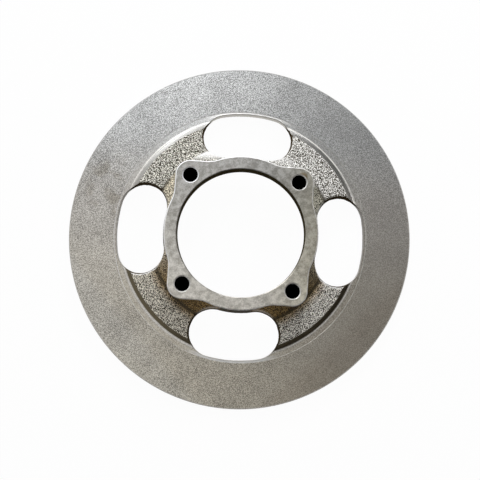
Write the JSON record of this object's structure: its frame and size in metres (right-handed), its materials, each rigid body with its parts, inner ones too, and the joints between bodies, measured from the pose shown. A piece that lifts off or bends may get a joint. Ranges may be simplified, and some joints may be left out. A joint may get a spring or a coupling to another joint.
{
  "type": "brake disc",
  "caption": "One-piece cast iron brake disc with a flat friction ring, a dished web with cast windows, and a raised lobed hub that bolts to a wheel flange.",
  "frame": {"origin": "on the disc's axis, at the back face of the friction ring", "axes": "+Z along the axis, from the back face to the hub face; the windows lie on the X and Y axes and the bolt holes between them"},
  "size_m": [0.25, 0.25, 0.031],
  "materials": {
    "iron": "ground friction faces and turned hub face, rough as cast web"
  },
  "bodies": {
    "root": {"brake_disc": "iron"}
  },
  "joints": []
}
